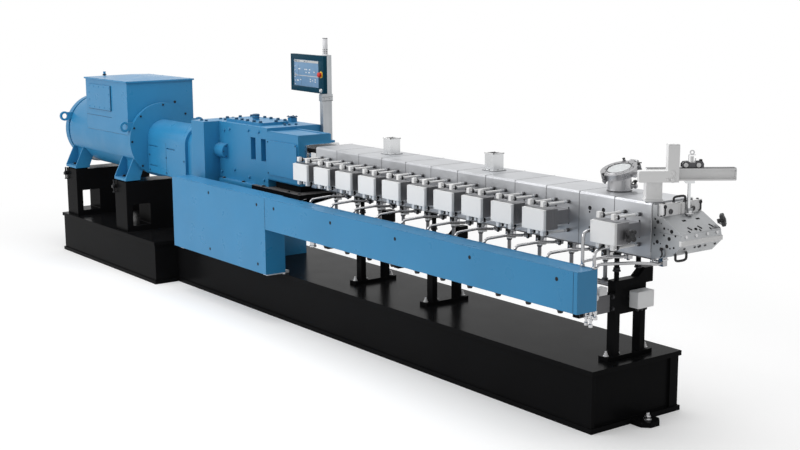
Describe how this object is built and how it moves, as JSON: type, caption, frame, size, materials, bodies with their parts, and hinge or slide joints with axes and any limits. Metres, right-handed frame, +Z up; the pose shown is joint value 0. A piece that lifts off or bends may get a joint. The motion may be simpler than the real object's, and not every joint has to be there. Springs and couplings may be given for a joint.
{
  "type": "twin screw plastic extruder",
  "caption": "Long twin-screw extruder on a boxed base: cooled motor, coupling guard, gearbox, sectioned barrel with side terminal boxes, vent dome, die head and swivel operator panel.",
  "frame": {"origin": "on the floor, under the middle of the base length and under the screw axis", "axes": "+X runs along the machine from the motor to the die head, +Y away from the terminal boxes, +Z up"},
  "size_m": [7.6336, 1.0041, 2.126],
  "materials": {
    "aluminium": "anodised",
    "black_paint": "satin",
    "blue_paint": "satin",
    "bright_steel": "fine ground",
    "dark_grey_paint": "satin",
    "die_steel": "machined",
    "glass": "clear",
    "grey_paint": "satin",
    "signal_lens": "gloss",
    "signal_red": "gloss",
    "white_paint": "satin"
  },
  "bodies": {
    "machine": {"barrel_neck": "bright_steel", "barrel_section_1": "bright_steel", "barrel_section_10": "bright_steel", "barrel_section_11": "bright_steel", "barrel_section_12": "bright_steel", "barrel_section_2": "bright_steel", "barrel_section_3": "bright_steel", "barrel_section_4": "bright_steel", "barrel_section_5": "bright_steel", "barrel_section_6": "bright_steel", "barrel_section_7": "bright_steel", "barrel_section_8": "bright_steel", "barrel_section_9": "bright_steel", "barrel_stems": "bright_steel", "barrel_support_front": "black_paint", "barrel_support_middle": "black_paint", "barrel_support_rear": "black_paint", "base_frame": "black_paint", "cabinet_brackets": "white_paint", "cable_duct": "blue_paint", "cooling_couplings": "bright_steel", "cooling_return": "dark_grey_paint", "cooling_supply": "bright_steel", "cooling_tubes": "bright_steel", "cooling_valves": "grey_paint", "coupling_guard": "blue_paint", "die_clamps": "white_paint", "die_head": "die_steel", "feed_sockets": "bright_steel", "gearbox_console": "black_paint", "gearbox_input_housing": "blue_paint", "gearbox_main_housing": "blue_paint", "gearbox_output_housing": "blue_paint", "gearbox_side_cover": "blue_paint", "gearbox_stand": "blue_paint", "gearbox_top_cover": "blue_paint", "junction_box": "white_paint", "lifting_frame": "grey_paint", "lifting_trolley": "grey_paint", "motor_base": "black_paint", "motor_cooler_box": "blue_paint", "motor_cooler_lid": "blue_paint", "motor_frame": "blue_paint", "motor_pedestal_front": "black_paint", "motor_pedestal_rear": "black_paint", "neck_cover": "black_paint", "panel_post": "aluminium", "side_cabinet": "blue_paint", "suspension_rod": "bright_steel", "terminal_box_covers": "white_paint", "terminal_boxes": "dark_grey_paint", "vent_dome": "bright_steel"},
    "panel": {"operator_panel": "aluminium", "emergency_stop": "signal_red", "signal_light": "signal_lens"},
    "lid": {"vent_lid": "bright_steel", "sight_glass": "glass"}
  },
  "joints": [
    {"name": "panel_swivel", "type": "hinge", "parent": "machine", "child": "panel", "pos_m": [-0.246, 0.335, 1.6183], "axis": [0, 0, 1], "range_deg": [-90, 90]},
    {"name": "vent_lid_hinge", "type": "hinge", "parent": "machine", "child": "lid", "pos_m": [3.31, 0.13424, 1.5003], "axis": [-1, 0, 0], "range_deg": [0, 100]}
  ]
}
